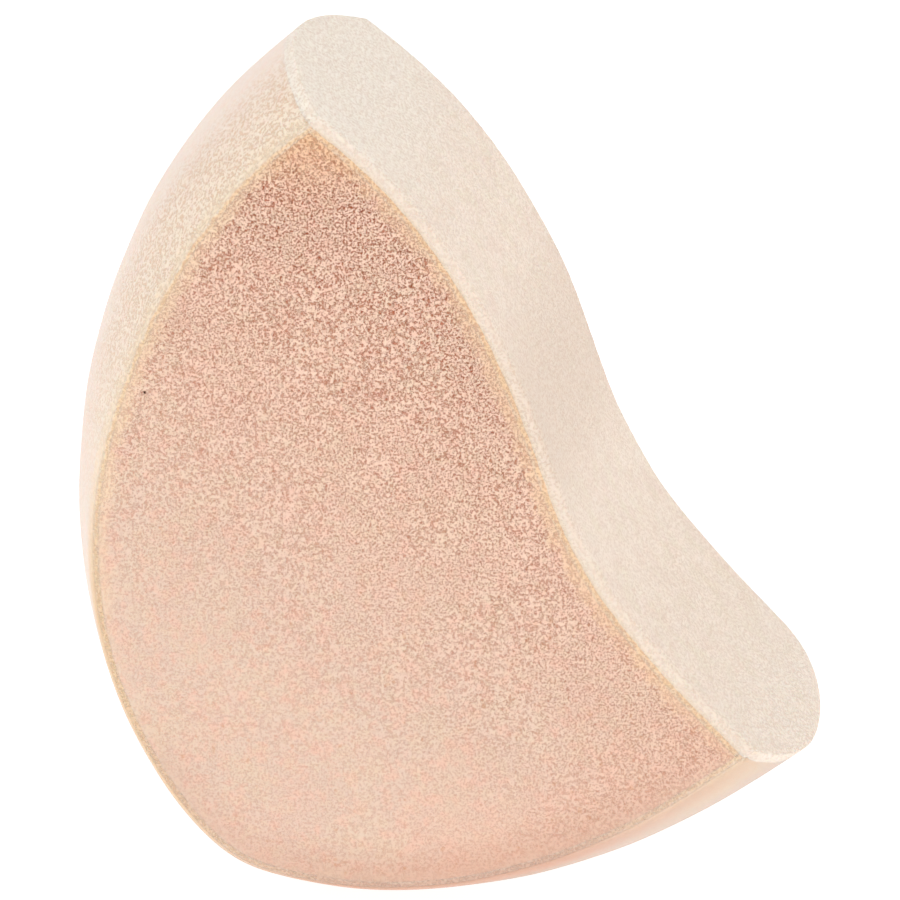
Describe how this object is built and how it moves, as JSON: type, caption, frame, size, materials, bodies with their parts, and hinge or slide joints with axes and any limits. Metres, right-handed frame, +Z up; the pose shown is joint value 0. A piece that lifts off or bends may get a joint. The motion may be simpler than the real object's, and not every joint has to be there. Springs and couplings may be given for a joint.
{
  "type": "makeup sponge",
  "caption": "Teardrop makeup sponge with a flat front of sliced foam, swollen sides and domed back under a smooth foam skin, and an S-shaped cut faced in velvety foam.",
  "frame": {"origin": "centre of the bounding box's bottom, on the flat that the sponge stands on", "axes": "+Z up through the tip, -Y out of the flat sliced front face, +X to the right across that face, towards the lower corner of the S-shaped cut"},
  "size_m": [0.0528, 0.026, 0.0624],
  "materials": {
    "sliced_foam": "dusty pink open-cell foam, sliced, matt and finely porous",
    "moulded_skin": "cream foam skin, smooth and matt, finely grained towards the front edge",
    "velvet_foam": "pale cream velvety foam, very fine and soft",
    "amber_bond": "thin translucent amber film, seen only at its edge"
  },
  "bodies": {
    "root": {"foam_core": "sliced_foam", "outer_skin": "moulded_skin", "skin_bond": "amber_bond", "velvet_facing": "velvet_foam", "velvet_bond": "amber_bond"}
  },
  "joints": []
}
